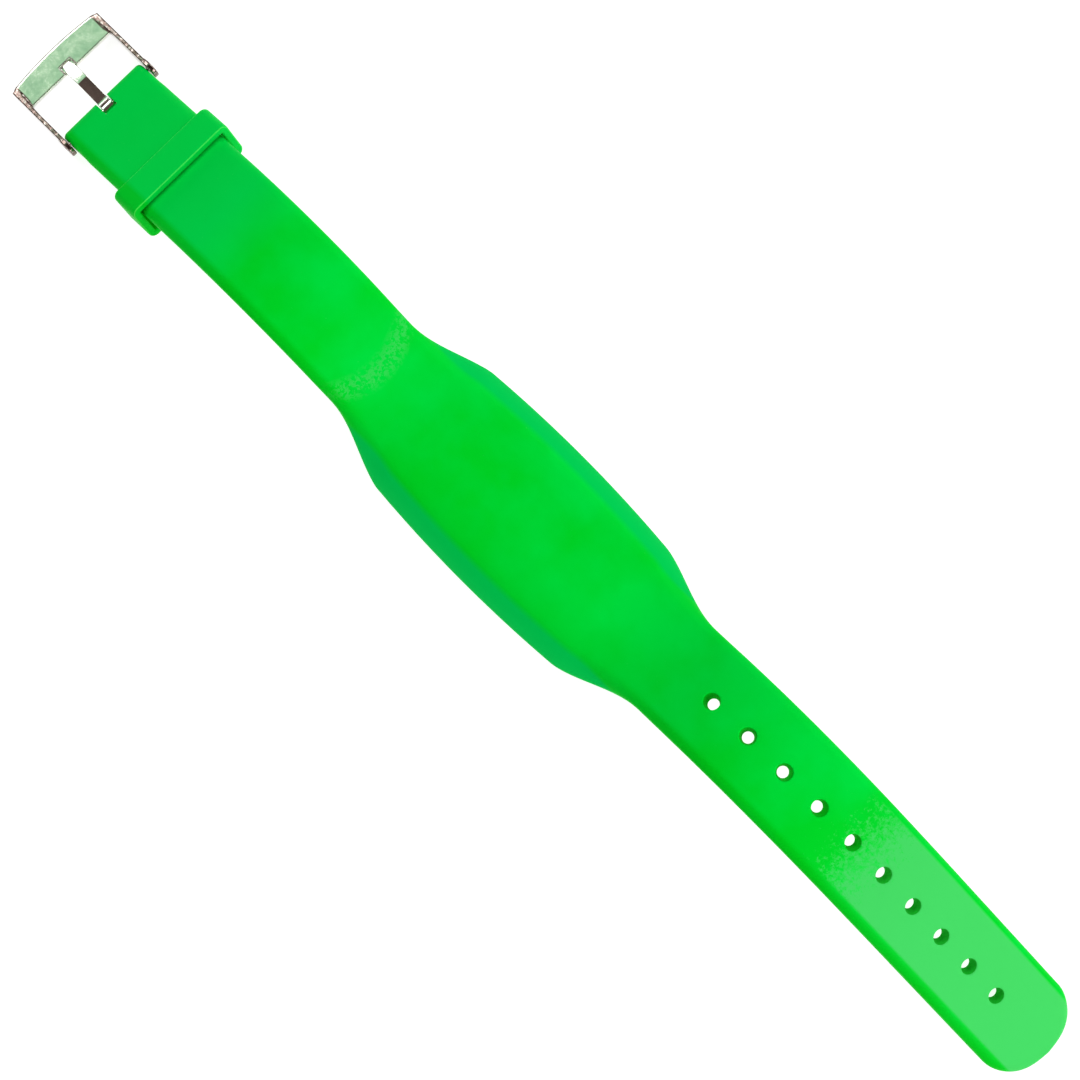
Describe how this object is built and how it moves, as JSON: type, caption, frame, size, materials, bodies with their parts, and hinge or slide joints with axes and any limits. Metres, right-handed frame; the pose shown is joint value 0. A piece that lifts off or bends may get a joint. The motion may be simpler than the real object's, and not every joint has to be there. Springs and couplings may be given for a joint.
{
  "type": "silicone wristband",
  "caption": "Moulded silicone wristband with a thick oval head, a holed tail, a keeper loop and a pin buckle on a spring bar.",
  "frame": {"origin": "middle of the head's flat wrist face", "axes": "+X along the band towards the tail, the buckle is at -X; +Y across the band; +Z out of the wrist, through the top of the head"},
  "size_m": [0.2634, 0.0318, 0.0274],
  "materials": {
    "silicone": "satin moulded silicone, bright green",
    "steel": "polished nickel plate",
    "tag_film": "matt film",
    "coil": "etched copper",
    "chip": "moulded resin"
  },
  "bodies": {
    "head": {"head_shell": "silicone", "head_back_cover": "silicone", "tag_base_film": "tag_film", "tag_antenna_coil": "coil", "tag_chip": "chip", "tag_top_film": "tag_film"},
    "tail_1": {"tail_link_1": "silicone"},
    "tail_2": {"tail_link_2": "silicone"},
    "tail_3": {"tail_link_3": "silicone"},
    "tail_4": {"tail_link_4": "silicone"},
    "strap_1": {"buckle_link_1": "silicone"},
    "strap_2": {"buckle_link_2": "silicone"},
    "strap_3": {"buckle_link_3": "silicone", "spring_bar_tube": "steel", "spring_bar_spring": "steel"},
    "keeper": {"keeper_loop": "silicone"},
    "buckle": {"buckle_frame": "steel"},
    "tang": {"buckle_tang": "steel"},
    "pin_left": {"spring_bar_pin_left": "steel"},
    "pin_right": {"spring_bar_pin_right": "steel"}
  },
  "joints": [
    {"name": "tail_curl", "type": "hinge", "parent": "head", "child": "tail_1", "pos_m": [0.04338, 0, 0.01088], "axis": [0, 1, 0], "range_deg": [-6, 36], "stiffness_Nm_per_rad": 0.012, "springref_deg": 26.36},
    {"name": "tail_curl_2", "type": "hinge", "parent": "tail_1", "child": "tail_2", "pos_m": [0.06008, 0, 0.01608], "axis": [0, 1, 0], "range_deg": [-6, 36], "stiffness_Nm_per_rad": 0.012, "springref_deg": 26.36},
    {"name": "tail_curl_3", "type": "hinge", "parent": "tail_2", "child": "tail_3", "pos_m": [0.08606, 0, 0.01272], "axis": [0, 1, 0], "range_deg": [-6, 36], "stiffness_Nm_per_rad": 0.012, "springref_deg": 26.36},
    {"name": "tail_curl_4", "type": "hinge", "parent": "tail_3", "child": "tail_4", "pos_m": [0.11065, 0, 0.00314], "axis": [0, 1, 0], "range_deg": [-6, 36], "stiffness_Nm_per_rad": 0.012, "springref_deg": 26.36},
    {"name": "strap_curl", "type": "hinge", "parent": "head", "child": "strap_1", "pos_m": [-0.0425, 0, 0.00942], "axis": [0, -1, 0], "range_deg": [-6, 34], "stiffness_Nm_per_rad": 0.012, "springref_deg": 27.5},
    {"name": "strap_curl_2", "type": "hinge", "parent": "strap_1", "child": "strap_2", "pos_m": [-0.06178, 0, 0.01378], "axis": [0, -1, 0], "range_deg": [-6, 34], "stiffness_Nm_per_rad": 0.012, "springref_deg": 27.5},
    {"name": "strap_curl_3", "type": "hinge", "parent": "strap_2", "child": "strap_3", "pos_m": [-0.07769, 0, 0.00982], "axis": [0, -1, 0], "range_deg": [-6, 34], "stiffness_Nm_per_rad": 0.012, "springref_deg": 27.5},
    {"name": "keeper_slide", "type": "slide", "parent": "strap_3", "child": "keeper", "axis": [-0.866, 0, -0.5], "range_m": [-0.004, 0.009]},
    {"name": "buckle_swing", "type": "hinge", "parent": "strap_3", "child": "buckle", "pos_m": [-0.1085, 0, -0.0078], "axis": [0, 1, 0], "range_deg": [-100, 30]},
    {"name": "tang_swing", "type": "hinge", "parent": "buckle", "child": "tang", "pos_m": [-0.1085, 0, -0.0078], "axis": [0, 1, 0], "range_deg": [0, 45]},
    {"name": "pin_left_press", "type": "slide", "parent": "strap_3", "child": "pin_left", "axis": [0, -1, 0], "range_m": [0, 0.0009], "stiffness_N_per_m": 800, "springref_m": -0.0012, "deforming": ["spring_bar_spring"]},
    {"name": "pin_right_press", "type": "slide", "parent": "strap_3", "child": "pin_right", "axis": [0, 1, 0], "range_m": [0, 0.0009], "stiffness_N_per_m": 800, "springref_m": -0.0012, "deforming": ["spring_bar_spring"]}
  ],
  "couplings": [
    {"joint": "tail_curl_2", "follows": "tail_curl", "ratio": 1},
    {"joint": "tail_curl_3", "follows": "tail_curl", "ratio": 1},
    {"joint": "tail_curl_4", "follows": "tail_curl", "ratio": 1},
    {"joint": "strap_curl_2", "follows": "strap_curl", "ratio": 1},
    {"joint": "strap_curl_3", "follows": "strap_curl", "ratio": 1}
  ]
}
